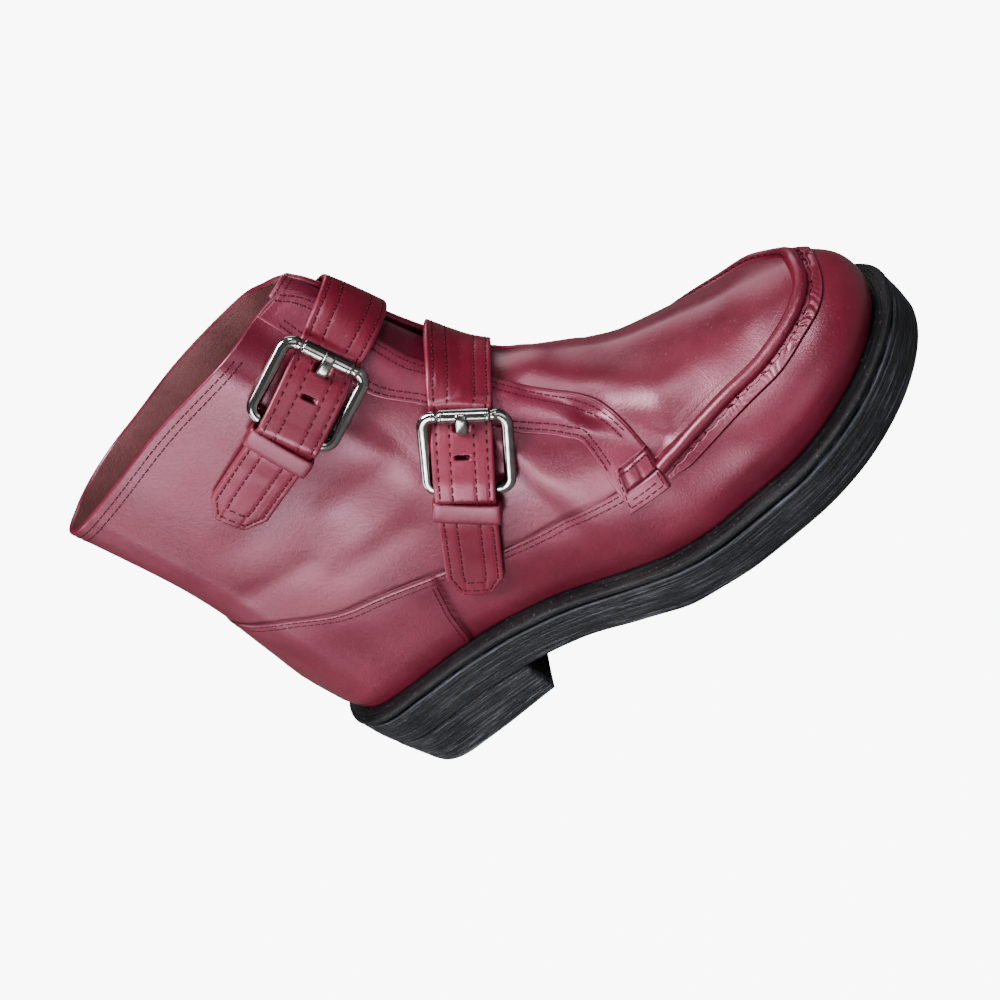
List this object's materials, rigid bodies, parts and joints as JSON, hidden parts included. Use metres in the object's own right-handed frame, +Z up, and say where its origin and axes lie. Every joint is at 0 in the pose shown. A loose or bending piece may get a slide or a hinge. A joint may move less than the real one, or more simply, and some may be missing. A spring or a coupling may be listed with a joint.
{
  "type": "buckled moccasin-toe ankle boot",
  "caption": "Burgundy leather ankle boot for the right foot, with a moccasin toe, two buckled straps and a thick black heeled sole.",
  "frame": {"origin": "middle of the heel's floor face", "axes": "+X to the toe, +Y to the inner (medial) side, +Z up; the buckles are on the -Y side; the floor is z = 0"},
  "size_m": [0.284, 0.1025, 0.185],
  "materials": {
    "burgundy_leather": "smooth, semi-gloss",
    "lining_leather": "matt",
    "black_sole": "satin, layered",
    "polished_nickel": "polished"
  },
  "bodies": {
    "root": {"outsole": "black_sole", "midsole": "black_sole", "heel": "black_sole", "insole": "lining_leather", "upper": "burgundy_leather", "tongue": "burgundy_leather", "moccasin_ridge": "burgundy_leather", "tab_lateral": "burgundy_leather", "tab_medial": "burgundy_leather", "strap_front": "burgundy_leather", "chape_front": "burgundy_leather", "keeper_front": "burgundy_leather", "buckle_frame_front": "polished_nickel", "buckle_roller_front": "polished_nickel", "buckle_prong_front": "polished_nickel", "strap_rear": "burgundy_leather", "chape_rear": "burgundy_leather", "keeper_rear": "burgundy_leather", "buckle_frame_rear": "polished_nickel", "buckle_roller_rear": "polished_nickel", "buckle_prong_rear": "polished_nickel"}
  },
  "joints": []
}
